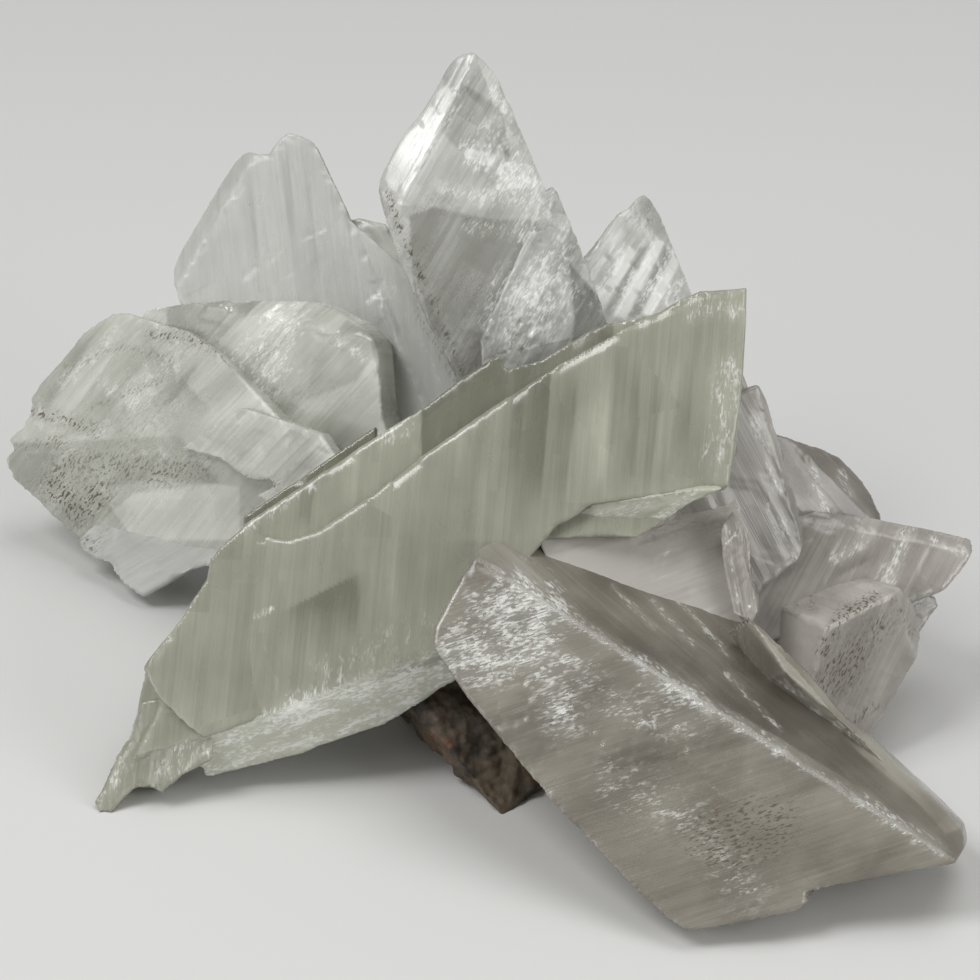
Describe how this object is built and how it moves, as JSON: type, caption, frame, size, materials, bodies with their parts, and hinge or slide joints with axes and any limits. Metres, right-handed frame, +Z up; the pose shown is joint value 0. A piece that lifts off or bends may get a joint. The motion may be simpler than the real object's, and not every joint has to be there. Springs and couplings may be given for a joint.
{
  "type": "selenite crystal cluster",
  "caption": "Natural cluster of translucent selenite blades grown through each other, resting on a small lump of clay-stained matrix that is cut off flat below.",
  "frame": {"origin": "on the flat cut under the matrix, at table level, below the middle of the cluster", "axes": "+Z up; +X to the right across the front, along the cluster's longest side; +Y away from the front"},
  "size_m": [0.1569, 0.132, 0.0925],
  "materials": {
    "selenite": "translucent, white to grey-green, flat cleavage faces with a silky sheen",
    "stained_clay": "dull brown clay and rock with rust stains"
  },
  "bodies": {
    "root": {"selenite_crystals": "selenite", "clay_matrix": "stained_clay"}
  },
  "joints": []
}
